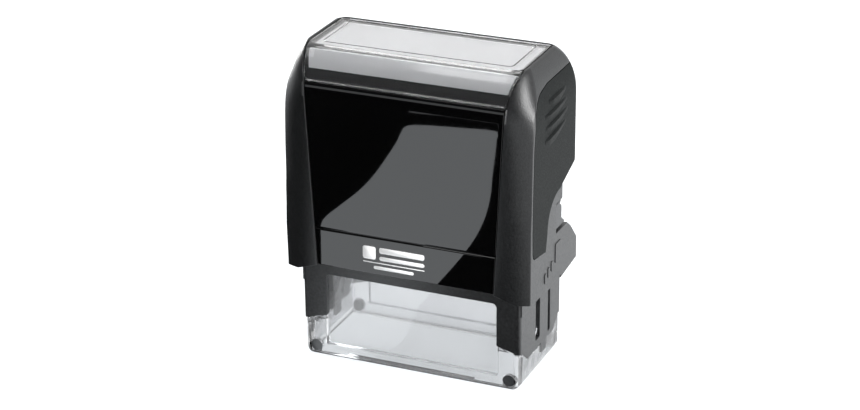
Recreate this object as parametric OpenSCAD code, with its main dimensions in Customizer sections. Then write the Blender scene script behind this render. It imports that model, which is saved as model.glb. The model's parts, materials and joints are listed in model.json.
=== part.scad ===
// Self inking stamp: a press handle slides down over a frame, and a yoke on the handle carries
// the text plate down while two cranks in the frame's tracks turn it over.
// Millimetres, +Z up, the front of the stamp faces -Y. The working coordinates have Y = 0 at the
// middle of the base; placed() moves every piece so that the origin is under the middle of the
// whole stamp's box.

/* [Overall] */
// Height from the foot to the top of the index window
stamp_h = 86.3; // [86:0.1:88]
// Width over the handle
handle_w = 68; // [67.6:0.1:70]
// Depth of the handle from its front face to its back face
handle_d = 35.9; // [35.8:0.1:37]
// Travel of the handle
travel = 24; // [23:0.1:24]

/* [Handle] */
// Height where the front and back faces start to curve in
shoulder_z = 74.2; // [73:0.1:75]
// Radius of that curve at the front, seen from the side
shoulder_r = 15.8; // [15:0.1:17]
// Radius of that curve at the back
back_shoulder_r = 14; // [13.6:0.1:15]
// Height where the sides start to lean in
lean_z = 72; // [70:0.5:73]
// Radius of the sides' lean, seen from the front
lean_r = 30; // [28:0.5:32]
// Radius of the upright corners at the back
corner_r = 3; // [2.6:0.1:4]
// How far the crowned bands beside the front panel curve back
band_drop = 1.8; // [1.6:0.1:2]
// Wall thickness of the handle shell
handle_wall = 2.4; // [2.3:0.1:2.5]
// Half width of the glossy front panel at its foot
panel_foot = 24.6; // [24:0.1:25]
// Half width of the front panel where it meets the index window
panel_head = 27.3; // [27:0.1:28]
// Half width of the index window on top
window_half = 29.6; // [29:0.1:30]
// Height of the crease across the front panel
crease_z = 38.2; // [36:0.1:42]

/* [Base] */
// Width of the frame and the foot
base_w = 61.3; // [61:0.1:61.6]
// Depth of the frame and the foot
base_d = 29.16; // [29:0.02:29.3]
// Top of the frame
frame_top = 52; // [51:0.5:52]
// Wall thickness of the frame's front and back
frame_wall = 1.6; // [1.4:0.1:1.6]
// Thickness of the frame's side walls, which hold the crank tracks
side_wall = 2; // [1.9:0.05:2]
// Top edge of the window in the frame's front
window_top = 23.6; // [22:0.1:24]
// Half width of that window
window_x = 24; // [23.5:0.1:24.5]

/* [Printing] */
// Height of the text plate's axle at rest
axle_z = 29.2; // [29.1:0.1:29.2]
// Height of the text plate's face over its axle
face_h = 5.2; // [5.1:0.1:5.2]
// Width of the rubber text plate
text_w = 46.8; // [40:0.1:47]
// Depth of the rubber text plate
text_d = 17.8; // [14:0.1:18]
// Radius of the steel axle pins
axle_r = 1.5; // [1.3:0.1:1.6]
// Distance from the axle to the crank's track pin
crank_arm = 5; // [4.5:0.1:5.2]
// Radius of the crank's track pin
track_pin_r = 1; // [0.9:0.05:1.05]

/* [Hidden] */
$fn = 64;

far = 60;                                // past every face, for cutting shapes
handle_front = -18.3;
handle_back = handle_front + handle_d;
half_w = handle_w / 2;
half_base_x = base_w / 2;
half_base_y = base_d / 2;
bump_back = 26;                          // back of the hump behind the frame
mid_y = (handle_front + bump_back) / 2;

// Handle
upper_z = 77;                            // above this the shell's inside is narrower
upper_wall = 3.9;
ceiling_z = 82.3;
panel_foot_z = 27.9;
panel_head_z = 78;
window_back = 10.1;
card_foot_z = 80.7;
pocket_x = 26.2;                         // outline of the card's pocket on the window
pocket_y = [-9.3, 8.6];
pocket_line = 0.25;
grip_depth = 1.2;
grip_gap = 0.15;                         // round the grips, and the panel and window
grip_corner = [-6.6, 72.8];
grip_corner_r = 7.2;
band_start_x = 25.5;
band_foot_z = 25.6;
band_foot_x = 30.7;                      // the bands' feet are level from here outwards
band_back = -15.5;
button_x = 20;
button_z = 71.5;
button_r = 3;
button_inner_y = 15.6;
rear_arch_x = 31.3;
rear_arch_z = 67;

// Frame
deck_z = 50.4;
well_z = 44;                             // underside of the spring's well
well_floor = 46;
ledge_top = 35.1;
rear_slot_z = [34.3, 42.7];
rear_slot_y = 10.1;
side_foot_z = 7;
leg_slant = [11.75, 10.05];              // underside of a leg, inner end and outer end
cheek = 0.25;                            // how far the sides stand out over their slots
cheek_foot_z = 20.9;
inside_y = half_base_y - frame_wall;
tongue = [[0.4, 4], [4.2, side_foot_z + 3]];

// Foot
foot_open_y = 11.8;
pin_x = 27.4;
pin_y = half_base_y - 2.2;
pin_z = 2.2;
pin_length = 1.9;
foot_pin_r = 1.7;

// Yoke, cranks and axle, as distances from the middle plane
holder_x = 23.8;
arm_x = [25.0, 26.8];
crank_x = [27.1, 28.3];
inner_x = half_base_x - side_wall;
track_floor_x = 29.85;
arm_y = 4.5;
arm_foot_r = 4.2;
yoke_z = 80.4;
spring_r = 5.8;
wire_r = 0.6;
spring_turns = 6.5;
well_r = spring_r + wire_r + 0.6;
post_r = 4;
post_foot_z = 71.5;

// Ink cartridge
pad_face_z = 34.7;
pad_top = 40.2;
tray_top = 41.7;
tray_x = 24.7;
tray_front = -10.9;
tray_wall = 0.7;
bar_y = 10.3;

// Printing unit
holder_top = axle_z + face_h - 3.4;
cushion_top = axle_z + face_h - 1.8;
face_top = axle_z + face_h;

// ---- helpers ----

module placed() translate([0, -mid_y, 0]) children();

// Outlines in (Y, Z) carried along X, and outlines in (X, Z) carried along Y.
module along_x(a, b) translate([a, 0, 0]) rotate([90, 0, 90]) linear_extrude(b - a) children();
module along_y(a, b) translate([0, b, 0]) rotate([90, 0, 0]) linear_extrude(b - a) children();

module block(lo, hi) translate(lo) cube(hi - lo);

module both_sides() {
    children();
    mirror([1, 0, 0]) children();
}

function arc(c, r, a0, a1, n = 14) =
    [for (i = [0:n]) let (a = a0 + (a1 - a0) * i / n) c + r * [cos(a), sin(a)]];

function round_rect(lo, hi, r) = concat(
    arc([lo.x + r, lo.y + r], r, 180, 270, 6), arc([hi.x - r, lo.y + r], r, 270, 360, 6),
    arc([hi.x - r, hi.y - r], r, 0, 90, 6), arc([lo.x + r, hi.y - r], r, 90, 180, 6));

// ---- the handle's outer form, and the same form with every face moved in by t ----

function rise_angle(r, t) = asin((stamp_h - t - shoulder_z) / (r - t));

function side_outline(t) = concat(
    [[handle_front + t, 0], [handle_back - t, 0]],
    arc([handle_back - back_shoulder_r, shoulder_z], back_shoulder_r - t, 0, rise_angle(back_shoulder_r, t)),
    arc([handle_front + shoulder_r, shoulder_z], shoulder_r - t, 180 - rise_angle(shoulder_r, t), 180));

function front_outline(t) = let (r = lean_r - t, top = asin((stamp_h - t - lean_z) / r)) concat(
    [[-half_w + t, 0], [half_w - t, 0]],
    arc([half_w - lean_r, lean_z], r, 0, top),
    arc([lean_r - half_w, lean_z], r, 180 - top, 180));

// Seen from above: a flat front between two crowned bands, and round corners at the back.
function plan_outline(t) = let (
    w = half_w - band_start_x,
    r = (w * w + band_drop * band_drop) / (2 * band_drop),
    end = asin((w - t) / (r - t)),
    back_r = max(corner_r - t, 0.8),
    back = [half_w - t - back_r, handle_back - t - back_r])
    concat(arc([band_start_x, handle_front + r], r - t, 270, 270 + end, 8),
           arc(back, back_r, 0, 90, 6),
           arc([-back.x, back.y], back_r, 90, 180, 6),
           arc([-band_start_x, handle_front + r], r - t, 270 - end, 270, 8));

module handle_form(t) {
    intersection() {
        along_x(-far, far) polygon(side_outline(t));
        along_y(-far, far) polygon(front_outline(t));
        linear_extrude(stamp_h + 1) polygon(plan_outline(t));
    }
}

// Everything inside the boundary between the side bands and the panel or window, gap smaller.
module panel_bounds(gap, z0, z1) {
    slope = (panel_head - panel_foot) / (panel_head_z - panel_foot_z);
    top_slope = (window_half - panel_head) / (stamp_h - panel_head_z);
    reach = stamp_h + 1 - panel_head_z;
    lower = [panel_foot - gap - slope * panel_foot_z, 0];
    head = [panel_head - gap, panel_head_z];
    crown = [panel_head - gap + top_slope * reach, stamp_h + 1];
    intersection() {
        along_y(-far, far)
            polygon([lower, head, crown, [-crown.x, crown.y], [-head.x, head.y], [-lower.x, 0]]);
        block([-far, -far, z0], [far, far, z1]);
    }
}

// Lower edge of the handle's sides: short over the frame, deep at the front bands.
module side_cutaway(grow = 0) {
    scoop = [4.35, 40.85];
    scoop_r = 8.85 + grow;
    polygon([[band_back, 0], [band_back, 37.4 + grow], [-9.95, 36.65 + grow], [-5.55 - grow, 35.95 + grow],
             [scoop.x - scoop_r, scoop.y], scoop, [scoop.x, scoop.y + scoop_r], [6.4, 50.5 + grow],
             [14.8, 53.4 + grow], [16.2, 54.2 + grow], [17.1, 55.4 + grow], [far, 55.4 + grow], [far, 0]]);
    polygon(concat([scoop], arc(scoop, scoop_r, 90, 180)));
}

// Outline of a soft grip in (Y, Z).
module grip_outline(gap = 0) {
    difference() {
        polygon(concat(
            [[-14.3 + gap, 37.5 + gap], [-9.95, 36.65 + gap], [-5.55, 35.95 + gap], [far, 35.95 + gap],
             [far, 80.8 - gap], [-3, 80.7 - gap]],
            arc(grip_corner, grip_corner_r - gap, 98, 170),
            [[-14.7 + gap, 67], [-15.05 + gap, 57], [-15.3 + gap, 45], [-15.1 + gap, 39]]));
        side_cutaway(gap);
    }
}

// Space of the grips, smaller by gap at the outline and by skin at the bottom.
module grip_space(gap = 0, skin = 0) {
    difference() {
        both_sides() along_x(22, far) grip_outline(gap);
        handle_form(grip_depth - skin);
        block([-31, -far, 0], [31, far, stamp_h]);
    }
}

// ---- frame ----

// Path of a track pin's centre for a share q of the stroke, in (Y, Z).
function pin_path(q) = [crank_arm * sin(180 * q), axle_z - travel * q - crank_arm * cos(180 * q)];

// Outline of the track: the path widened to both sides, with square ends.
module track_outline(half) {
    n = 28;
    q = [for (i = [0:n]) i / n];
    side = [for (i = [0:n]) let (a = pin_path(max(q[i] - 0.01, 0)), b = pin_path(min(q[i] + 0.01, 1)),
                                d = (b - a) / norm(b - a)) [d.y, -d.x]];
    polygon(concat([for (i = [0:n]) pin_path(q[i]) + half * side[i]],
                   [for (i = [n:-1:0]) pin_path(q[i]) - half * side[i]]));
    for (e = [0, 1]) translate(pin_path(e)) circle(half, $fn = 24);
}

// Bottom edges of the legs, seen from the front and from the side. All above them is frame.
module leg_feet() {
    foot_x = half_base_x - 1.6;
    along_y(-far, far) both_sides()
        polygon([[0, -1], [0, leg_slant[0]], [window_x, leg_slant[0]], [foot_x, leg_slant[1] + 0.3],
                 [foot_x, -1]]);
    along_x(-far, far)
        polygon([[-far, -1], [-far, leg_slant[1]], [-inside_y, leg_slant[1]], [-9.4, side_foot_z],
                 [9.4, side_foot_z], [inside_y, leg_slant[1]], [far, leg_slant[1]], [far, -1]]);
}

module frame_walls() {
    chamfer = 0.8;
    low = [-half_base_x, -half_base_y];
    difference() {
        union() {
            linear_extrude(frame_top) polygon(round_rect(low, -low, 0.8));
            block([low.x - cheek, low.y + 0.3, cheek_foot_z], [-low.x + cheek, -low.y, frame_top]);
        }
        block([-inner_x, -inside_y, -1], [inner_x, inside_y, frame_top + 1]);
        // front and back windows over the foot's clear panes
        along_y(-far, 0) polygon(round_rect([-window_x, -5], [window_x, window_top], 1.2));
        along_y(0, far) polygon(round_rect([-window_x, -5], [window_x, 18.4], 1.2));
        leg_feet();
        // room for the cartridge's back bar
        block([-far, rear_slot_y, rear_slot_z[0]], [far, far, rear_slot_z[1]]);
        // softened top edge
        for (s = [-1, 1]) {
            translate([0, s * half_base_y, frame_top]) rotate([45, 0, 0])
                cube([far * 2, chamfer, chamfer], center = true);
            translate([s * (half_base_x + cheek), 0, frame_top]) rotate([0, 45, 0])
                cube([chamfer, far * 2, chamfer], center = true);
        }
        // upright slots in each side
        both_sides() along_x(inner_x - 1, far) {
            polygon(round_rect([-3.6, 9.4], [-0.6, 20.9], 0.4));
            polygon(round_rect([5.3, 8.2], [6.9, 20], 0.4));
        }
        // tracks for the crank pins, cut from the inside
        both_sides() along_x(inner_x - 1, track_floor_x) track_outline(track_pin_r + 0.3);
        // the lock buttons drop in here when the handle is fully down
        for (s = [-1, 1]) translate([s * button_x, 0, button_z - travel]) rotate([-90, 0, 0])
            cylinder(h = far, r = button_r + 0.4);
    }
}

module hump() {
    outer = [[half_base_y - 0.5, 34.3], [18.4, 34.3], [21.3, 32.2], [25.9, 27.3], [bump_back, 21.2],
             [half_base_y - 0.5, 20]];
    inner = [[0, 32.6], [17.8, 32.6], [20.3, 30.8], [24.4, 26.6], [24.4, 22.6],
             [half_base_y - 1.7, 21.6], [0, 21.6]];
    difference() {
        along_x(-half_base_x - cheek, half_base_x + cheek) polygon(outer);
        along_x(-inner_x, inner_x) polygon(inner);
    }
}

// Top of the frame, with slots for the yoke's arms and a well for the spring.
module frame_deck() {
    edge = [inner_x + 0.2, inside_y + 0.2];
    difference() {
        union() {
            block([-edge.x, -edge.y, deck_z], [edge.x, edge.y, frame_top - 0.6]);
            translate([0, 0, well_z]) cylinder(h = frame_top - well_z, r = well_r + 1.4);
        }
        both_sides() block([arm_x[0] - 0.3, -arm_y - 0.4, deck_z - 1],
                           [arm_x[1] + 0.3, arm_y + 0.4, frame_top + 1]);
        translate([0, 0, well_floor]) cylinder(h = 20, r = well_r);
    }
}

module cartridge_ledges() {
    for (y = [[-inside_y - 0.2, -6], [6, rear_slot_y]])
        both_sides() block([24.15, y[0], ledge_top - 1.2], [inner_x + 0.2, y[1], ledge_top]);
}

// Snap tongue that hangs from each side into the clear foot.
module snap_tongues() {
    both_sides() along_x(inner_x, half_base_x)
        polygon(round_rect(tongue[0], [tongue[1].x, side_foot_z + 1], 0.6));
}

module frame_housing() placed() color([0.13, 0.13, 0.14]) {
    difference() {
        union() {
            frame_walls();
            frame_deck();
            cartridge_ledges();
            snap_tongues();
            hump();
        }
        // the rear of the frame opens into the hump
        block([-inner_x, 10, 22.6], [inner_x, half_base_y + 0.4, 32.6]);
    }
}

module foot_solid() {
    low = [-half_base_x, -half_base_y];
    intersection() {
        linear_extrude(12) polygon(round_rect(low, -low, 2));
        along_y(-far, far) polygon(round_rect([low.x, 0], [-low.x, 30], 2.4));
    }
}

// A pin's axis in each corner of the foot, pointing outwards.
module foot_pin_places()
    for (s = [-1, 1], e = [-1, 1])
        translate([s * pin_x, e * pin_y, pin_z]) rotate([-90 * e, 0, 0]) children();

module clear_foot() placed() color([0.8, 0.82, 0.85, 0.4]) {
    pane_y = [foot_open_y, inside_y - 0.05];
    foot_x = half_base_x - 1.6;
    difference() {
        foot_solid();
        block([-inner_x, -foot_open_y, -1], [inner_x, foot_open_y, 20]);
        // only the corner blocks stand higher than the rails
        block([-window_x - 0.3, -far, 3.2], [window_x + 0.3, far, 20]);
        both_sides() along_y(-far, far)
            polygon([[window_x, leg_slant[0]], [foot_x, leg_slant[1] + 0.3], [foot_x, leg_slant[1]],
                     [far, leg_slant[1]], [far, 20], [window_x, 20]]);
        along_x(-far, far)
            polygon([[-inside_y, leg_slant[1]], [-9.4, side_foot_z], [9.4, side_foot_z],
                     [inside_y, leg_slant[1]], [inside_y, 20], [-inside_y, 20]]);
        both_sides() along_x(inner_x - 1, far) polygon(round_rect(tongue[0], tongue[1], 0.6));
        // recessed line along the front rail
        block([-18, -far, 1.3], [18, -half_base_y + 0.5, 2.3]);
        foot_pin_places() cylinder(h = 9, r = foot_pin_r);
    }
    // front and back panes
    block([-inner_x + 0.1, -pane_y[1], 2.8], [inner_x - 0.1, -pane_y[0], 26]);
    block([-inner_x + 0.1, pane_y[0], 2.8], [inner_x - 0.1, pane_y[1], 19.8]);
}

module foot_pins() placed() color([0.35, 0.36, 0.38])
    foot_pin_places() cylinder(h = pin_length, r = foot_pin_r);

// ---- spring ----

module return_spring() placed() color([0.72, 0.73, 0.75]) {
    sides = 6;
    steps = 12;
    at = function (i, k) i * sides + (k % sides);
    rings = ceil(spring_turns * steps);
    rise = (yoke_z - well_floor - 2 * wire_r - 0.1) / rings;
    points = [for (i = [0:rings], k = [0:sides - 1])
        let (a = 360 * i / steps, b = 360 * k / sides, r = spring_r + wire_r * cos(b))
        [r * cos(a), r * sin(a), well_floor + wire_r + 0.05 + rise * i + wire_r * sin(b)]];
    faces = concat(
        [[for (k = [0:sides - 1]) k]],
        [for (i = [0:rings - 1], k = [0:sides - 1], h = [0, 1])
            h == 0 ? [at(i, k), at(i + 1, k), at(i + 1, k + 1)] : [at(i, k), at(i + 1, k + 1), at(i, k + 1)]],
        [[for (k = [sides - 1:-1:0]) at(rings, k)]]);
    polyhedron(points, faces);
}

// ---- ink cartridge ----

module cartridge_tray() placed() color([0.16, 0.17, 0.19]) {
    difference() {
        block([-tray_x, tray_front, ledge_top + 0.3], [tray_x, bar_y + 1, tray_top]);
        block([-tray_x + tray_wall, tray_front + tray_wall, 30], [tray_x - tray_wall, bar_y - 0.2, pad_top]);
    }
    // back bar with the two finger lugs, and the lip that carries on the hump's slope
    along_x(-half_base_x, half_base_x)
        polygon(concat([[bar_y, ledge_top], [17.6, ledge_top], [14.8, 37.1], [14.8, 40.65], [13.5, 41.5],
                        [14.5, 42.3]],
                       arc([11.7, 40.9], 1.4, 90, 180, 5)));
}

module ink_pad() placed() color([0.1, 0.1, 0.16])
    block([-tray_x + tray_wall + 0.05, tray_front + tray_wall + 0.05, pad_face_z],
          [tray_x - tray_wall - 0.05, bar_y - 0.25, pad_top]);

// ---- handle ----

module handle_shell() placed() color([0.16, 0.16, 0.17]) {
    difference() {
        handle_form(0);
        intersection() {
            handle_form(handle_wall);
            block([-far, -far, -1], [far, far, upper_z]);
        }
        intersection() {
            handle_form(upper_wall);
            block([-far, -far, upper_z - 1], [far, far, ceiling_z]);
        }
        // bottom edges
        along_x(-far, far) side_cutaway();
        along_y(-far, 0)
            polygon([[-far, -1], [-far, band_foot_z], [-band_foot_x, band_foot_z],
                     [0.5 - panel_foot, panel_foot_z], [panel_foot - 0.5, panel_foot_z],
                     [band_foot_x, band_foot_z], [far, band_foot_z], [far, -1]]);
        // arch over the frame's back
        along_y(4, far) polygon(round_rect([-rear_arch_x, -20], [rear_arch_x, rear_arch_z], 7));
        // seats of the front panel, the index window and the grips
        difference() {
            panel_bounds(0, 0, panel_head_z);
            handle_form(1.45);
            block([-far, 0, 0], [far, far, far * 2]);
        }
        difference() {
            panel_bounds(0, panel_head_z, stamp_h + 1);
            handle_form(2.2);
            block([-far, window_back, 0], [far, far, far * 2]);
        }
        grip_space();
        // holes for the lock buttons
        for (s = [-1, 1]) translate([s * button_x, 0, button_z]) rotate([-90, 0, 0])
            cylinder(h = far, r = button_r + 0.3);
    }
}

module front_panel() placed() color([0.02, 0.02, 0.02])
    difference() {
        intersection() {
            handle_form(0.35);
            panel_bounds(grip_gap, panel_foot_z, panel_head_z - grip_gap);
        }
        handle_form(1.4);
        block([-far, 0, 0], [far, far, far * 2]);
        // the crease
        translate([0, handle_front + 0.35, crease_z]) rotate([45, 0, 0])
            cube([far * 2, 0.5, 0.5], center = true);
    }

module grip_right() placed() color([0.1, 0.11, 0.11])
    intersection() {
        handle_form(0);
        grip_space(grip_gap, 0.04);
        block([0, -far, 0], [far, far, far * 2]);
    }

module grip_left() placed() color([0.1, 0.11, 0.11])
    intersection() {
        handle_form(0);
        grip_space(grip_gap, 0.04);
        block([-far, -far, 0], [0, far, far * 2]);
    }

module index_card() placed() color([0.86, 0.86, 0.86])
    difference() {
        intersection() {
            handle_form(1.8);
            panel_bounds(1.2, card_foot_z, stamp_h);
        }
        handle_form(2.15);
        block([-far, window_back - 1.2, 0], [far, far, far * 2]);
    }

module index_window() placed() color([0.85, 0.87, 0.9, 0.4])
    difference() {
        intersection() {
            handle_form(0.2);
            panel_bounds(0.2, panel_head_z + grip_gap, stamp_h);
        }
        handle_form(1.5);
        block([-far, window_back - 0.2, 0], [far, far, far * 2]);
        // line round the card's pocket
        translate([0, 0, stamp_h - 0.2 - pocket_line]) linear_extrude(1) difference() {
            polygon(round_rect([-pocket_x, pocket_y[0]], [pocket_x, pocket_y[1]], 1.5));
            polygon(round_rect([pocket_line - pocket_x, pocket_y[0] + pocket_line],
                               [pocket_x - pocket_line, pocket_y[1] - pocket_line], 1.3));
        }
    }

module drive_yoke() placed() color([0.2, 0.2, 0.22]) {
    difference() {
        union() {
            both_sides() along_x(arm_x[0], arm_x[1])
                polygon(concat([[-arm_y, yoke_z + 1], [-arm_y, axle_z + 1]],
                               arc([0, axle_z], arm_foot_r, 180, 360),
                               [[arm_y, axle_z + 1], [arm_y, yoke_z + 1]]));
            block([-arm_x[1], -6, yoke_z], [arm_x[1], 6, ceiling_z - 0.05]);
        }
        translate([-far, 0, axle_z]) rotate([0, 90, 0]) cylinder(h = far * 2, r = axle_r + 0.05);
    }
    translate([0, 0, post_foot_z]) cylinder(h = yoke_z + 0.5 - post_foot_z, r = post_r);
}

module lock_button(side)
    translate([side * button_x, button_inner_y, button_z]) rotate([-90, 0, 0])
        cylinder(h = handle_back + 0.5 - button_inner_y, r = button_r);

module lock_button_left() placed() color([0.55, 0.56, 0.58]) lock_button(-1);
module lock_button_right() placed() color([0.55, 0.56, 0.58]) lock_button(1);

// ---- printing unit ----

module die_holder() placed() color([0.12, 0.12, 0.13])
    difference() {
        union() {
            block([-holder_x, -9, axle_z - 0.6], [holder_x, 9, holder_top]);
            both_sides() block([19.5, -3.2, axle_z - 3], [holder_x, 3.2, holder_top]);
            for (y = [-6, 0, 6]) block([-19.6, y - 0.6, axle_z - 2.6], [19.6, y + 0.6, axle_z]);
        }
        both_sides() translate([20, 0, axle_z]) rotate([0, 90, 0]) cylinder(h = 9, r = axle_r);
    }

// A block centred on the Z axis, with half sizes reduced by inset.
module plate(inset, z0, z1) {
    corner = [text_w / 2 - inset, text_d / 2 - inset];
    block([-corner.x, -corner.y, z0], [corner.x, corner.y, z1]);
}

module foam_cushion() placed() color([0.75, 0.75, 0.72]) plate(-0.05, holder_top, cushion_top);

module text_plate() placed() color([0.55, 0.25, 0.22]) {
    plate(0, cushion_top, face_top - 0.8);
    // raised printing face: a plain border and ruled bars
    difference() {
        plate(0.6, face_top - 1, face_top);
        plate(1.4, face_top - 0.8, far);
    }
    for (y = [-4.5, -1.5, 1.5, 4.5])
        block([4 - text_w / 2, y - 0.7, face_top - 1], [text_w / 2 - 4, y + 0.7, face_top]);
}

module axle_pin_right() placed() color([0.75, 0.76, 0.78])
    translate([20.3, 0, axle_z]) rotate([0, 90, 0]) cylinder(h = crank_x[1] - 20.3, r = axle_r);

module axle_pin_left() placed() color([0.75, 0.76, 0.78])
    translate([-crank_x[1], 0, axle_z]) rotate([0, 90, 0]) cylinder(h = crank_x[1] - 20.3, r = axle_r);

module crank() {
    translate([crank_x[0], 0, axle_z]) rotate([90, 0, 90]) difference() {
        linear_extrude(crank_x[1] - crank_x[0]) {
            circle(2.8);
            translate([0, -crank_arm]) circle(1.9);
            translate([-1.9, -crank_arm]) square([3.8, crank_arm]);
        }
        translate([0, 0, -1]) cylinder(h = 9, r = axle_r);
    }
    translate([crank_x[0] + 0.4, 0, axle_z - crank_arm]) rotate([0, 90, 0])
        cylinder(h = track_floor_x - 0.25 - crank_x[0] - 0.4, r = track_pin_r);
}

module flip_crank_right() placed() color([0.3, 0.3, 0.33]) crank();
module flip_crank_left() placed() color([0.3, 0.3, 0.33]) mirror([1, 0, 0]) crank();

frame_housing();
clear_foot();
foot_pins();
return_spring();
cartridge_tray();
ink_pad();
handle_shell();
front_panel();
grip_left();
grip_right();
index_card();
drive_yoke();
index_window();
lock_button_left();
lock_button_right();
die_holder();
axle_pin_left();
axle_pin_right();
flip_crank_left();
flip_crank_right();
foam_cushion();
text_plate();
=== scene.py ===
"""Looks of the self inking stamp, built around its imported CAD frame.

Everything is in the frame's metres: +Z is up, and the front with the glossy panel faces -Y. Sizes written as
numbers are millimetres unless their comment says otherwise.
"""

import json
import math

import bmesh
import bpy
from mathutils import Matrix, Vector


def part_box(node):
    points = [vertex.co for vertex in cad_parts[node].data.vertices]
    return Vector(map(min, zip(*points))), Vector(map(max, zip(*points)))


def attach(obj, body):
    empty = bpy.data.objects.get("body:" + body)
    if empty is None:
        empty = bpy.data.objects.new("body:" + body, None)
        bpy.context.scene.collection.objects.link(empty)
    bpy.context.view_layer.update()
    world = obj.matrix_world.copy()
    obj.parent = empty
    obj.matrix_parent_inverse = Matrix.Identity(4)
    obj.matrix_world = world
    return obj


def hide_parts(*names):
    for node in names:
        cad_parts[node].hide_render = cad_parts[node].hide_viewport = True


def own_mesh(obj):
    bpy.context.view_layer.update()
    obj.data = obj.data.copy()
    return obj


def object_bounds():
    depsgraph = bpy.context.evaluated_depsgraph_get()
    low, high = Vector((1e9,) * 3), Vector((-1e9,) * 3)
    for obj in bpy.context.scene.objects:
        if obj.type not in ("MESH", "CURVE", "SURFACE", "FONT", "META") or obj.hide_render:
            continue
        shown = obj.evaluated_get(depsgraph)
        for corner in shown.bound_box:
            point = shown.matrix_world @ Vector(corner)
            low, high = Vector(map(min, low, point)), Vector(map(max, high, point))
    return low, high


MM = 0.001

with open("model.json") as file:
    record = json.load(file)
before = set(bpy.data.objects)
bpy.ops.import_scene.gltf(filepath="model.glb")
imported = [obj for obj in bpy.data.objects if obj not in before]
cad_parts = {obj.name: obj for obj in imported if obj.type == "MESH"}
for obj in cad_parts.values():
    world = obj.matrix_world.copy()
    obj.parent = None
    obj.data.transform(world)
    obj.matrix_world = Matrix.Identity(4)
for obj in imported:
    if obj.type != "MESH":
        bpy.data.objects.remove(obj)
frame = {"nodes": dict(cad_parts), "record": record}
cad_low, cad_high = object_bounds()

foot_low, foot_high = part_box("clear_foot")
BASE_Y = (foot_low.y + foot_high.y) / 2  # middle of the base

scene = bpy.context.scene


# ---- materials ----


def new_material(name):
    """A node material, its node tree and its Principled shader."""
    mat = bpy.data.materials.new(name)
    mat.use_nodes = True
    tree = mat.node_tree
    return mat, tree, tree.nodes["Principled BSDF"]


def place(tree, node):
    """Gives a node object coordinates, which are the CAD frame's metres for every piece here."""
    coords = tree.nodes.new("ShaderNodeTexCoord")
    tree.links.new(coords.outputs["Object"], node.inputs["Vector"])


def noise(tree, size, detail=2.0, roughness=0.55):
    """Noise whose lumps are about size mm across."""
    node = tree.nodes.new("ShaderNodeTexNoise")
    node.inputs["Scale"].default_value = 1 / (size * MM)
    node.inputs["Detail"].default_value = detail
    node.inputs["Roughness"].default_value = roughness
    place(tree, node)
    return node.outputs["Fac"]


def cells(tree, size):
    """Distance to the middle of cells about size mm across."""
    node = tree.nodes.new("ShaderNodeTexVoronoi")
    node.inputs["Scale"].default_value = 1 / (size * MM)
    place(tree, node)
    return node.outputs["Distance"]


def ramp(tree, factor, low, high, span=(0.3, 0.7)):
    """A colour that runs from low to high as factor runs over span."""
    node = tree.nodes.new("ShaderNodeValToRGB")
    for element, at, colour in zip(node.color_ramp.elements, span, (low, high)):
        element.position = at
        element.color = (*colour, 1)
    tree.links.new(factor, node.inputs["Fac"])
    return node.outputs["Color"]


def paint(tree, shader, factor, low, high):
    tree.links.new(ramp(tree, factor, low, high), shader.inputs["Base Color"])


def vary_roughness(tree, shader, factor, low, high):
    tree.links.new(ramp(tree, factor, (low,) * 3, (high,) * 3), shader.inputs["Roughness"])


def bump(tree, shader, height, strength, depth):
    """Bumps of the given depth in mm."""
    node = tree.nodes.new("ShaderNodeBump")
    node.inputs["Strength"].default_value = strength
    node.inputs["Distance"].default_value = depth * MM
    tree.links.new(height, node.inputs["Height"])
    tree.links.new(node.outputs["Normal"], shader.inputs["Normal"])


def shade(colour, k):
    """The colour made k times as bright."""
    return tuple(c * k for c in colour)


def moulded(name, colour, rough, grain=0.25, depth=0.02, specular=0.5, vary=0.12, mottle=16):
    """Moulded plastic with a fine spark-eroded grain, grain and depth in mm."""
    mat, tree, shader = new_material(name)
    shader.inputs["Specular IOR Level"].default_value = specular
    fine = noise(tree, grain)
    paint(tree, shader, noise(tree, mottle, 4.0), shade(colour, 1 - vary), shade(colour, 1 + vary))
    vary_roughness(tree, shader, fine, rough - 0.06, rough + 0.06)
    bump(tree, shader, fine, 0.6, depth)
    return mat


def glossy_black(name):
    """Polished black plastic: almost a mirror, with the faintest waviness from the mould."""
    mat, tree, shader = new_material(name)
    shader.inputs["Specular IOR Level"].default_value = 0.55
    wave = noise(tree, 45, 1.0)
    paint(tree, shader, wave, (0.0012, 0.0012, 0.0013), (0.002, 0.002, 0.0022))
    vary_roughness(tree, shader, noise(tree, 1.1, 3.0), 0.01, 0.03)
    bump(tree, shader, wave, 0.015, 0.03)
    return mat


def outside(tree, x):
    """1 where a point is more than x mm from the middle plane, otherwise 0."""
    parts = tree.nodes.new("ShaderNodeSeparateXYZ")
    place(tree, parts)
    distance = tree.nodes.new("ShaderNodeMath")
    distance.operation = "ABSOLUTE"
    tree.links.new(parts.outputs["X"], distance.inputs[0])
    beyond = tree.nodes.new("ShaderNodeMath")
    beyond.operation = "GREATER_THAN"
    beyond.inputs[1].default_value = x * MM
    tree.links.new(distance.outputs[0], beyond.inputs[0])
    return beyond.outputs[0]


def mixed(tree, factor, first, second):
    """The first colour where factor is 0 and the second, an output or a plain colour, where it is 1."""
    node = tree.nodes.new("ShaderNodeMix")
    node.data_type = "RGBA"
    tree.links.new(factor, node.inputs["Factor"])
    tree.links.new(first, node.inputs["A"])
    if isinstance(second, tuple):
        node.inputs["B"].default_value = (*second, 1)
    else:
        tree.links.new(second, node.inputs["B"])
    return node.outputs["Result"]


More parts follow.
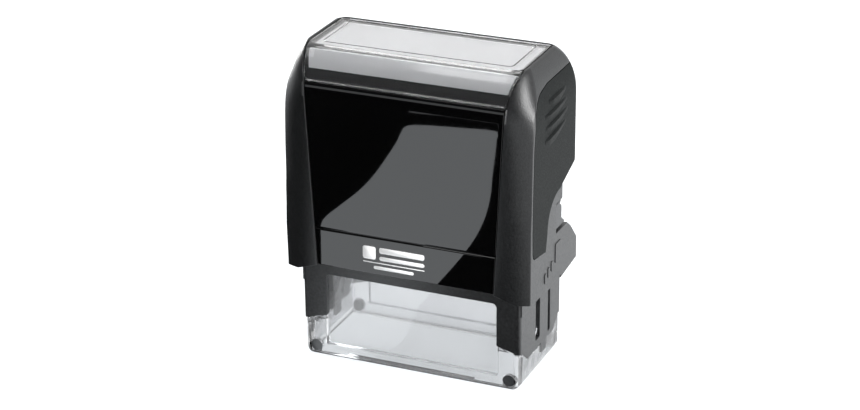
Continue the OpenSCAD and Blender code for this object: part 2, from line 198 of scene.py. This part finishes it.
def clear_plastic(name, tint, clear, side_x=None, side_shade=1.0):
    """Clear moulded plastic with slight flow lines, and painted shade, darker and streaky, beyond side_x mm.
    """
    mat, tree, shader = new_material(name)
    shader.inputs["Transmission Weight"].default_value = clear
    shader.inputs["IOR"].default_value = 1.4
    wave = noise(tree, 11)
    colour = ramp(tree, wave, shade(tint, 0.97), tint)
    # painted shade: beyond side_x the colour is darkened in streaks
    if side_x:
        streaks = noise(tree, 2.5, 3.0)
        side = ramp(tree, streaks, shade(tint, side_shade * 0.6), shade(tint, side_shade * 1.5))
        colour = mixed(tree, outside(tree, side_x), colour, side)
    tree.links.new(colour, shader.inputs["Base Color"])
    vary_roughness(tree, shader, wave, 0.03, 0.08)
    bump(tree, shader, wave, 0.06, 0.05)
    return mat


def bare_metal(name, colour, rough):
    """Bare metal with a faint mottle in its colour and its polish."""
    mat, tree, shader = new_material(name)
    shader.inputs["Metallic"].default_value = 1.0
    fine = noise(tree, 0.55, 3.0)
    paint(tree, shader, fine, shade(colour, 0.85), colour)
    vary_roughness(tree, shader, fine, rough - 0.08, rough + 0.08)
    bump(tree, shader, fine, 0.2, 0.01)
    return mat


def porous(name, colour, dark, cell, rough, depth):
    """Felt, foam or cut rubber, with cells and depth in mm."""
    mat, tree, shader = new_material(name)
    shader.inputs["Specular IOR Level"].default_value = 0.25
    fibre = noise(tree, cell * 0.45, 4.0)
    paint(tree, shader, fibre, dark, colour)
    vary_roughness(tree, shader, fibre, rough, rough + 0.15)
    bump(tree, shader, cells(tree, cell), 0.6, depth)
    return mat


SHADED_SIDE_X = 30.4  # painted shade makes the foot's sides darker from here outwards

MATERIALS = {
    "handle_plastic": moulded("handle_plastic", (0.007, 0.0074, 0.008), 0.36,
                              grain=0.35, depth=0.07, specular=0.45, vary=0.55, mottle=0.55),
    "frame_plastic": moulded("frame_plastic", (0.0155, 0.016, 0.017), 0.4,
                             grain=0.35, depth=0.06, vary=0.5, mottle=0.6),
    "gloss_panel": glossy_black("gloss_panel"),
    "soft_grip": moulded("soft_grip", (0.0034, 0.0043, 0.0042), 0.55,
                         grain=0.4, depth=0.05, specular=0.085, vary=0.5, mottle=0.6),
    "white_print": moulded("white_print", (0.85, 0.85, 0.85), 0.5,
                           grain=0.15, depth=0.004, specular=0.2, vary=0.02),
    "clear_plastic": clear_plastic("clear_plastic", (0.86, 0.865, 0.875), clear=0.86,
                                   side_x=SHADED_SIDE_X, side_shade=0.32),
    "window_plastic": clear_plastic("window_plastic", (0.95, 0.955, 0.96), clear=0.99),
    "card": moulded("card", (0.6, 0.6, 0.61), 0.5, grain=0.4, depth=0.004, vary=0.02),
    "pin_plastic": moulded("pin_plastic", (0.05, 0.052, 0.055), 0.3),
    "button_plastic": moulded("button_plastic", (0.09, 0.095, 0.1), 0.38),
    "mechanism_plastic": moulded("mechanism_plastic", (0.03, 0.03, 0.032), 0.45),
    "cartridge_plastic": moulded("cartridge_plastic", (0.025, 0.026, 0.028), 0.42),
    "spring_steel": bare_metal("spring_steel", (0.62, 0.62, 0.64), 0.28),
    "ink_felt": porous("ink_felt", (0.012, 0.012, 0.03), (0.004, 0.004, 0.012), 0.35, 0.7, 0.08),
    "foam": porous("foam", (0.5, 0.5, 0.48), (0.3, 0.3, 0.29), 0.5, 0.8, 0.1),
    "text_rubber": porous("text_rubber", (0.3, 0.1, 0.075), (0.2, 0.06, 0.045), 0.25, 0.55, 0.03),
}


# ---- pieces made from the CAD solids ----


SUBPARTS = frame["record"]["subparts"]
LOOKS = {"index_window": "window_plastic"}  # nodes whose look isn't their slot's own

WELD = 2e-6  # metres; vertices closer than this are one
FLAT_ANGLE = 0.6  # degrees; faces that meet at less are one
BEVEL_SEGMENTS = 3
SHARP_ANGLE = 28  # degrees; sharper edges are rounded

# How far each node's edges are rounded.
EDGE_WIDTHS = {
    "frame_housing": 0.14, "clear_foot": 0.3, "foot_pins": 0.2,
    "cartridge_tray": 0.25, "ink_pad": 0.4,
    "handle_shell": 0.2, "front_panel": 0.18, "grip_left": 0.3, "grip_right": 0.3,
    "index_card": 0.08, "index_window": 0.12, "drive_yoke": 0.3,
    "lock_button_left": 0.35, "lock_button_right": 0.35,
    "die_holder": 0.25, "axle_pin_left": 0.15, "axle_pin_right": 0.15,
    "flip_crank_left": 0.15, "flip_crank_right": 0.15,
    "foam_cushion": 0.15, "text_plate": 0.06,
}


def slot_of(node):
    return next(part["material_slot"] for part in SUBPARTS if part["node"] == node)


def body_of(node):
    bodies = frame["record"]["behaviour"]["bodies"]
    return next(body for body, nodes in bodies.items() if node in nodes)


def clean_copy(node):
    """The CAD node's mesh as a new bmesh with its flat faces whole again."""
    bm = bmesh.new()
    bm.from_mesh(frame["nodes"][node].data)
    bmesh.ops.remove_doubles(bm, verts=bm.verts, dist=WELD)
    bmesh.ops.dissolve_limit(bm, angle_limit=math.radians(FLAT_ANGLE), verts=bm.verts, edges=bm.edges)
    bmesh.ops.dissolve_degenerate(bm, dist=WELD, edges=bm.edges)
    return bm


def skin(bm, rings):
    """Closes a stack of vertex rings into one surface with a flat cap at each end."""
    faces = []
    for lower, upper in zip(rings, rings[1:]):
        for k in range(len(lower)):
            faces.append(bm.faces.new((lower[k - 1], lower[k], upper[k], upper[k - 1])))
    faces += [bm.faces.new(rings[0][::-1]), bm.faces.new(rings[-1])]
    bmesh.ops.recalc_face_normals(bm, faces=faces)


def object_of(bm, name):
    """A new object of the bmesh, which it frees."""
    mesh = bpy.data.meshes.new(name)
    bm.to_mesh(mesh)
    bm.free()
    obj = bpy.data.objects.new(name, mesh)
    scene.collection.objects.link(obj)
    return obj


def finish_piece(bm, name, body, slot, nodes=(), look=None):
    """The bmesh as a visible piece on its body, in place of the CAD nodes."""
    bm.normal_update()
    obj = object_of(bm, name)
    obj.data.materials.append(MATERIALS[look or slot])
    for polygon in obj.data.polygons:
        polygon.use_smooth = True
    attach(obj, body)
    if nodes:
        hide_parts(*nodes)
    return obj


def soften(obj, width, clamp=False):
    """Rounds the sharp edges by width."""
    bevel = obj.modifiers.new("edges", "BEVEL")
    bevel.width = width * MM
    bevel.segments = BEVEL_SEGMENTS
    bevel.limit_method = "ANGLE"
    bevel.angle_limit = math.radians(SHARP_ANGLE)
    bevel.use_clamp_overlap = clamp
    bevel.miter_outer = "MITER_ARC"
    normals = obj.modifiers.new("normals", "WEIGHTED_NORMAL")
    normals.weight = 80


def carry_over(node, rework=None):
    """The node's CAD mesh as a piece with rounded edges. rework changes its bmesh first."""
    bm = clean_copy(node)
    if rework:
        bm = rework(bm)
    piece = finish_piece(bm, node + "_piece", body_of(node), slot_of(node), [node], LOOKS.get(node))
    soften(piece, EDGE_WIDTHS[node], clamp=node.startswith("grip"))


# ---- the handle's outer form, measured from the base's middle ----


shell_low, shell_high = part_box("handle_shell")
FRONT_Y = round((shell_low.y - BASE_Y) / MM, 2)
BACK_Y = round((shell_high.y - BASE_Y) / MM, 2)
HALF_W = round(shell_high.x / MM, 2)
TOP_Z = round(shell_high.z / MM, 2)

SHOULDER_Z, FRONT_R, BACK_R = 74.2, 15.8, 14.0  # the shoulders, seen from the side
LEAN_Z, LEAN_R = 72.0, 30.0  # the sides lean in above this height
CORNER_R = 3.0  # the upright corners at the back
FRONT_CREASE_R, BACK_CREASE_R, SIDE_CREASE_R = 4.0, 3.0, 1.0  # where each meets the flat top
BAND_START_X = 25.5  # the crowned bands run from here to the sides
# (Z, Y) of the edge where the bands meet the sides. It fades out above the grip's corner.
BAND_EDGE = [(47, -16.5), (51, -16.1), (60, -16.0), (68, -15.6), (71.5, -15.2), (76.2, -13.8), (78.5, -12.0),
             (79.8, -10.6), (83, -9.2), (88, -8.0)]
BAND_STEPS, CORNER_STEPS, TOP_STEPS = 16, 8, 12

# How far each piece is trimmed inside the form.
SHELL_INSET, WINDOW_INSET, GRIP_INSET = 0.04, 0.23, 0.06
WINDOW_END_GAP = 0.2  # what the window is shortened by at each end
ENDS_X = 20  # what lies further out than this belongs to an end
MERGE, SLIVER = 0.08, 0.02  # after a boolean, vertices and edges this small go
SAME_PLANE = 0.3  # degrees


def between(table, at):
    """Linear interpolation in a list of (key, value)."""
    for (k0, v0), (k1, v1) in zip(table, table[1:]):
        if at <= k1:
            return v0 + (v1 - v0) * max(at - k0, 0) / (k1 - k0)
    return table[-1][1]


def band_edge_y(z):
    """Y of the band's edge at height z, averaged over 1.5 mm each way."""
    return sum(between(BAND_EDGE, z + step * 0.5) for step in range(-3, 4)) / 7


def rounded_reach(z, centre_z, radius, top, crease):
    """Reach at height z of an arc about centre_z that meets a flat top through a crease radius."""
    if z <= centre_z:
        return radius
    run = math.sqrt((radius - crease) ** 2 - (top - crease - centre_z) ** 2)
    touch_z = centre_z + (top - crease - centre_z) * radius / (radius - crease)
    if z <= touch_z:
        return math.sqrt(radius ** 2 - (z - centre_z) ** 2)
    return run + math.sqrt(max(crease ** 2 - (z - top + crease) ** 2, 0))


def form_outline(z, inset):
    """The handle's outline at height z, right half from the front's middle to the back's middle."""
    top = TOP_Z - inset
    front = FRONT_Y + FRONT_R - rounded_reach(z, SHOULDER_Z, FRONT_R - inset, top, FRONT_CREASE_R)
    back = BACK_Y - BACK_R + rounded_reach(z, SHOULDER_Z, BACK_R - inset, top, BACK_CREASE_R)
    side = HALF_W - LEAN_R + rounded_reach(z, LEAN_Z, LEAN_R - inset, top, SIDE_CREASE_R)
    wide, deep = side - BAND_START_X, band_edge_y(z) - front
    turn = min(2 * math.atan2(deep, wide), math.pi / 2)
    points = []
    for k in range(BAND_STEPS + 1):
        a = turn * k / BAND_STEPS
        points.append((BAND_START_X + wide * math.sin(a) / math.sin(turn),
                       front + deep * (1 - math.cos(a)) / (1 - math.cos(turn))))
    radius = CORNER_R - inset
    for k in range(CORNER_STEPS + 1):
        a = math.pi / 2 * k / CORNER_STEPS
        points.append((side - radius + radius * math.cos(a), back - radius + radius * math.sin(a)))
    return points


def form_levels(top):
    """Heights of the form's rings, from under the shell up, closer together where it curves more."""
    straight = [20, 34, 44]
    sides = [47 + 1.5 * k for k in range(15)]
    shoulders = [69 + 0.5 * k for k in range(31)]
    crease_z = 84.4
    rises = [math.sin(math.pi / 2 * k / TOP_STEPS) for k in range(TOP_STEPS + 1)]
    return straight + sides + shoulders + [crease_z + (top - crease_z) * rise for rise in rises]


def handle_form(inset):
    """A closed body of the handle's outer form, by inset inside the CAD form."""
    bm = bmesh.new()
    rings = []
    for z in form_levels(TOP_Z - inset):
        right = form_outline(z, inset)
        outline = right + [(-x, y) for x, y in right[::-1]]
        rings.append([bm.verts.new((x * MM, BASE_Y + y * MM, z * MM)) for x, y in outline])
    skin(bm, rings)
    return bm


def shared(bm, form):
    """What two closed bmeshes share, as a new one with its slivers taken out. Both are freed."""
    whole, tool = object_of(bm, "whole"), object_of(form, "tool")
    cut = whole.modifiers.new("cut", "BOOLEAN")
    cut.operation, cut.solver, cut.object = "INTERSECT", "EXACT", tool
    result = bmesh.new()
    result.from_mesh(whole.evaluated_get(bpy.context.evaluated_depsgraph_get()).to_mesh())
    for obj in (whole, tool):
        bpy.data.objects.remove(obj)
    bmesh.ops.remove_doubles(result, verts=result.verts, dist=MERGE * MM)
    same_plane = math.radians(SAME_PLANE)
    bmesh.ops.dissolve_limit(result, angle_limit=same_plane, verts=result.verts, edges=result.edges)
    bmesh.ops.dissolve_degenerate(result, dist=SLIVER * MM, edges=result.edges)
    return result


def trimmed(inset, narrower=0.0):
    """Trims a piece to the outer form, after drawing each end in by narrower."""
    def rework(bm):
        for vert in bm.verts:
            if abs(vert.co.x) > ENDS_X * MM:
                vert.co.x -= math.copysign(narrower * MM, vert.co.x)
        return shared(bm, handle_form(inset))
    return rework


# ---- raised ridges on the grips ----


# Upper line of each ridge: (Y, Z) of its front end and its back end.
RIDGES = [((-4.25, 76.3), (8.0, 76.3)), ((-7.35, 73.2), (8.1, 73.4)), ((-6.95, 70.0), (8.8, 70.5)),
          ((-7.5, 66.6), (7.5, 67.6))]
RIDGE_H, RIDGE_FALL = 0.55, 2.6  # how far a ridge stands out, and how far it fades downwards
RIDGE_ROOT = 0.5  # how deep it reaches into the grip
RIDGE_STEPS = 24


def side_point(sign, y, z, out):
    """The point that lies out mm over the handle's side at (y, z)."""
    lean = math.asin(max(z - LEAN_Z, 0) / LEAN_R)
    x = HALF_W - LEAN_R + (LEAN_R + out) * math.cos(lean)
    return Vector((sign * x, y, z + out * math.sin(lean))) * MM + Vector((0, BASE_Y, 0))


def ridge_profile(t):
    """A ridge's section at t along it: (height over its line, distance out of the outer form)."""
    tall = RIDGE_H * min(1.0, 5 * t, 2.2 * (1 - t)) ** 0.8
    fall = RIDGE_FALL * (0.35 + 0.65 * min(1.0, 4 * t, 2 * (1 - t)))
    return [(0.5, -RIDGE_ROOT), (0.45, -0.07), (0.1, tall * 0.8 - GRIP_INSET), (-0.1, tall - GRIP_INSET),
            (-fall * 0.5, tall * 0.45 - GRIP_INSET), (-fall, -0.1), (-fall * 0.5, -RIDGE_ROOT)]


def ridged(sign):
    """Trims a grip to the outer form and adds its ridges. sign is -1 on the left, 1 on the right."""
    def rework(bm):
        bm = trimmed(GRIP_INSET)(bm)
        for (y0, z0), (y1, z1) in RIDGES:
            rings = []
            for k in range(RIDGE_STEPS + 1):
                t = k / RIDGE_STEPS
                y, z = y0 + (y1 - y0) * t, z0 + (z1 - z0) * t
                rings.append([bm.verts.new(side_point(sign, y, z + dz, out)) for dz, out in ridge_profile(t)])
            skin(bm, rings)
        return bm
    return rework


# ---- printed and raised marks, all plain shapes ----


# Corners in the face that they lie on. PRINT_BARS are a square, two bars beside it, and a rule and a bar
# under them.
PRINT_BARS = [((-11.6, 31.9), (-8.0, 35.5)), ((-7.0, 33.9), (5.6, 35.5)), ((-7.0, 31.9), (5.6, 33.0)),
              ((-11.6, 30.95), (5.6, 31.2)), ((-8.6, 29.3), (2.6, 30.2))]
RAISED_BARS = [((1.6, 23.2), (3.0, 26.2)), ((4.0, 24.0), (5.4, 27.0)), ((6.4, 24.8), (7.8, 27.8)),
               ((9.4, 26.0), (13.6, 31.6))]
ROUND_STEPS = 6  # in each rounded corner


def add_bar(bm, bar, to_point, thick, radius):
    """A flat bar with rounded corners, placed by to_point(u, v, out) and standing out by thick."""
    (u0, v0), (u1, v1) = bar
    radius = min(radius, (u1 - u0) / 2 - 0.01, (v1 - v0) / 2 - 0.01)
    outline = []
    for u, v, quarter in ((u1 - radius, v1 - radius, 0), (u0 + radius, v1 - radius, 1),
                          (u0 + radius, v0 + radius, 2), (u1 - radius, v0 + radius, 3)):
        for k in range(ROUND_STEPS + 1):
            a = math.pi / 2 * (quarter + k / ROUND_STEPS)
            outline.append((u + radius * math.cos(a), v + radius * math.sin(a)))
    skin(bm, [[bm.verts.new(to_point(u, v, out)) for u, v in outline] for out in (-0.05, thick)])


def make_print():
    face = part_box("front_panel")[0].y

    def on_panel(u, v, out):
        return Vector((u * MM, face - out * MM, v * MM))

    bm = bmesh.new()
    for bar in PRINT_BARS:
        add_bar(bm, bar, on_panel, thick=0.02, radius=0.55)
    finish_piece(bm, "panel_print", "handle", "white_print")


def make_side_marks():
    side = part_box("frame_housing")[1].x
    bm = bmesh.new()
    for sign in (-1, 1):
        def on_side(u, v, out):
            return Vector((sign * (side + out * MM), BASE_Y + u * MM, v * MM))

        for bar in RAISED_BARS:
            add_bar(bm, bar, on_side, thick=0.22, radius=0.7)
    soften(finish_piece(bm, "side_marks", "frame", "frame_plastic"), 0.1)


# ---- return spring ----


WIRE_R = 0.6
TURNS, CLOSED_TURNS = 9.0, 1.25  # the closed turns lie flat at each end
PITCH_CLOSED = 2.1 * WIRE_R
TURN_STEPS, WIRE_SIDES = 40, 12


def coil_height(t, span):
    """Height of the wire after t turns of a coil whose wire rises by span."""
    if t < CLOSED_TURNS:
        return PITCH_CLOSED * t
    if t > TURNS - CLOSED_TURNS:
        return span - PITCH_CLOSED * (TURNS - t)
    share = (t - CLOSED_TURNS) / (TURNS - 2 * CLOSED_TURNS)
    return PITCH_CLOSED * CLOSED_TURNS + (span - 2 * PITCH_CLOSED * CLOSED_TURNS) * share


def tube(points, radius):
    """A bmesh tube along points, in metres, with a flat cap at each end."""
    bm = bmesh.new()
    rings = []
    for i, p in enumerate(points):
        ahead = (points[min(i + 1, len(points) - 1)] - points[max(i - 1, 0)]).normalized()
        across = ahead.cross(Vector((0, 0, 1))).normalized()
        up = across.cross(ahead).normalized()
        angles = (2 * math.pi * k / WIRE_SIDES for k in range(WIRE_SIDES))
        rings.append([bm.verts.new(p + radius * (math.cos(a) * across + math.sin(a) * up)) for a in angles])
    skin(bm, rings)
    return bm


def make_spring():
    """The spring's turns, rising from its foot, with the end turns closed flat."""
    low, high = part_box("return_spring")
    height = high.z - low.z
    span = height / MM - 2 * WIRE_R
    coil_r = (high.x - low.x) / 2 - WIRE_R * MM
    foot = Vector(((low.x + high.x) / 2, BASE_Y, low.z + WIRE_R * MM))
    points = []
    for i in range(int(TURNS * TURN_STEPS) + 1):
        t = i / TURN_STEPS
        a = 2 * math.pi * t
        points.append(foot + Vector((coil_r * math.cos(a), coil_r * math.sin(a), coil_height(t, span) * MM)))
    wire = tube(points, WIRE_R * MM)
    obj = finish_piece(wire, "return_spring_coil", "frame", "spring_steel", ["return_spring"])
    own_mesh(obj)


# ---- stage: camera, lights, floor ----


CAMERA_AZ, CAMERA_EL, CAMERA_ROLL = 23.365, 23.093, -0.447  # degrees
CAMERA_DISTANCE = 0.60631  # metres
CAMERA_LENS = 97.54
CAMERA_SHIFT = (-0.0019, -0.0024)
TARGET = Vector((0, BASE_Y, 0.042))


def camera_axes():
    """The camera's right, up and backward directions."""
    azimuth, elevation, roll = (math.radians(v) for v in (CAMERA_AZ, CAMERA_EL, CAMERA_ROLL))
    flat = math.cos(elevation)
    back = Vector((math.sin(azimuth) * flat, -math.cos(azimuth) * flat, math.sin(elevation)))
    right = (-back).cross(Vector((0, 0, 1))).normalized()
    up = right.cross(-back)
    return (math.cos(roll) * right + math.sin(roll) * up, -math.sin(roll) * right + math.cos(roll) * up, back)


def make_camera():
    right, up, back = camera_axes()
    cam = bpy.data.objects.new("camera", bpy.data.cameras.new("camera"))
    scene.collection.objects.link(cam)
    turn = Matrix((right, up, back)).transposed().to_4x4()
    cam.matrix_world = Matrix.Translation(TARGET + back * CAMERA_DISTANCE) @ turn
    cam.data.lens = CAMERA_LENS
    cam.data.shift_x, cam.data.shift_y = CAMERA_SHIFT
    cam.data.clip_start, cam.data.clip_end = 0.01, 20
    scene.camera = cam


def stage_material(name, colour, glow):
    """A dull material that gives off a faintly blue glow."""
    mat, _, shader = new_material(name)
    shader.inputs["Base Color"].default_value = (*colour, 1)
    shader.inputs["Roughness"].default_value = 0.9
    shader.inputs["Specular IOR Level"].default_value = 0.0
    shader.inputs["Emission Color"].default_value = (0.93, 0.97, 1.0, 1)
    shader.inputs["Emission Strength"].default_value = glow
    return mat


def make_floor():
    bm = bmesh.new()
    bmesh.ops.create_circle(bm, cap_ends=True, radius=6.0, segments=96)
    floor = object_of(bm, "floor")
    floor.location.z = cad_low.z - 0.02 * MM
    floor.data.materials.append(stage_material("floor", (0.4, 0.4, 0.4), 0.72))


# A dark sheet lies on the floor in front of the stamp, with a bright strip and a thin one on it. Only mirror
# reflections see them. (X, Y) from the base's middle. The strips' outlines were traced on the photograph's
# reflection and worked back through the camera by a separate script, so they fit this camera only.
# Painted reflections: the dark sheet paints black into the glossy panel's mirror image, and the glowing
# strips paint its bright reflections.
PAINTED_DARK_REFLECTION = [(-700, -13), (50, -13), (60, -400), (50, -900), (-700, -900)]
PAINTED_BRIGHT_REFLECTION = [(-13.7, -14), (-13.7, -52), (-15.5, -97), (-17.6, -113), (-21.7, -130), (-31.3, -158),
                (-39.9, -182.6), (-42.6, -189.7), (-44, -190.1), (-52, -189.1), (-71.2, -184.5),
                (-72.4, -183), (-71.8, -177.6), (-69.7, -169), (-66.7, -153), (-64.3, -137), (-63.6, -126),
                (-64, -114), (-64.2, -103), (-63.5, -99.5), (-58.3, -88), (-51, -73), (-36, -40), (-26, -14)]
PAINTED_THIN_REFLECTION = [(-77.4, -196.5), (-61.3, -198), (-44.6, -198.8), (-44.2, -197.9), (-60.8, -197.1),
              (-77, -195.6)]


def flat_sheet(name, outline, height, corners, colour, glow):
    """A flat sheet over the floor that only mirror reflections see, a painted reflection, dark or glowing
    though it is no lamp. corners is AUTO or VECTOR.
    """
    curve = bpy.data.curves.new(name, "CURVE")
    curve.dimensions = "2D"
    curve.fill_mode = "BOTH"
    spline = curve.splines.new("BEZIER")
    spline.use_cyclic_u = True
    spline.bezier_points.add(len(outline) - 1)
    for point, (x, y) in zip(spline.bezier_points, outline):
        point.co = (x * MM, BASE_Y + y * MM, 0)
        point.handle_left_type = point.handle_right_type = corners
    curve.materials.append(stage_material(name, colour, glow))
    sheet = bpy.data.objects.new(name, curve)
    sheet.location.z = cad_low.z + height * MM
    sheet.visible_camera = sheet.visible_diffuse = False
    sheet.visible_transmission = sheet.visible_shadow = False
    scene.collection.objects.link(sheet)


def make_reflections():
    # painted reflections: a dark sheet and two glowing strips that only mirror reflections see
    flat_sheet("painted_dark_reflection", PAINTED_DARK_REFLECTION, 0.1, "VECTOR", (0.002, 0.002, 0.002), 0.0)
    flat_sheet("painted_bright_reflection", PAINTED_BRIGHT_REFLECTION, 0.2, "AUTO", (0, 0, 0), 2.4)
    flat_sheet("painted_thin_reflection", PAINTED_THIN_REFLECTION, 0.2, "AUTO", (0, 0, 0), 0.9)


def make_world():
    """White all round for the camera; for light, bright behind and above and dim in front."""
    world = bpy.data.worlds.new("studio")
    scene.world = world
    world.use_nodes = True
    tree = world.node_tree
    coords = tree.nodes.new("ShaderNodeTexCoord")
    along = tree.nodes.new("ShaderNodeVectorMath")
    along.operation = "DOT_PRODUCT"
    along.inputs[1].default_value = Vector((-0.1, 0.8, 0.6)).normalized()
    tree.links.new(coords.outputs["Generated"], along.inputs[0])
    sky = ramp(tree, along.outputs["Value"], (0.03, 0.03, 0.03), (1, 1, 1), (0.0, 0.75))
    path = tree.nodes.new("ShaderNodeLightPath")
    background = tree.nodes["Background"]
    seen = mixed(tree, path.outputs["Is Camera Ray"], sky, (1, 1, 1))
    tree.links.new(seen, background.inputs["Color"])


# Soft lights: name, place and size in metres, power in watts.
LIGHTS = [
    ("top", (-0.1, 0.25, 0.8), (0.6, 0.4), 4.5),
    ("front_top", (0.0, -0.42, 0.85), (0.7, 0.25), 2.2),
    ("right", (0.95, -0.15, 0.42), (0.5, 0.6), 15.5),
    ("edge", (0.98, -0.03, 0.14), (0.1, 0.25), 3.5),
    ("back_left", (-0.8, 0.6, 0.16), (0.3, 0.3), 6.0),
]


def make_lights():
    """Each light faces the middle of the stamp."""
    middle = Vector((0, BASE_Y, 0.045))
    for name, at, size, power in LIGHTS:
        light = bpy.data.lights.new(name, "AREA")
        light.shape = "RECTANGLE"
        light.size, light.size_y = size
        light.energy = power
        obj = bpy.data.objects.new(name, light)
        obj.location = Vector(at)
        obj.rotation_euler = (middle - Vector(at)).to_track_quat("-Z", "Y").to_euler()
        scene.collection.objects.link(obj)


def make_pieces():
    """Every CAD node as a piece, except the spring, whose turns are made anew, and then the marks."""
    rework = {"handle_shell": trimmed(SHELL_INSET), "index_window": trimmed(WINDOW_INSET, WINDOW_END_GAP),
              "grip_left": ridged(-1), "grip_right": ridged(1)}
    for node in EDGE_WIDTHS:
        carry_over(node, rework.get(node))
    make_spring()
    make_print()
    make_side_marks()


make_camera()
make_world()
make_lights()
make_floor()
make_reflections()
make_pieces()

scene.view_settings.view_transform = "Standard"
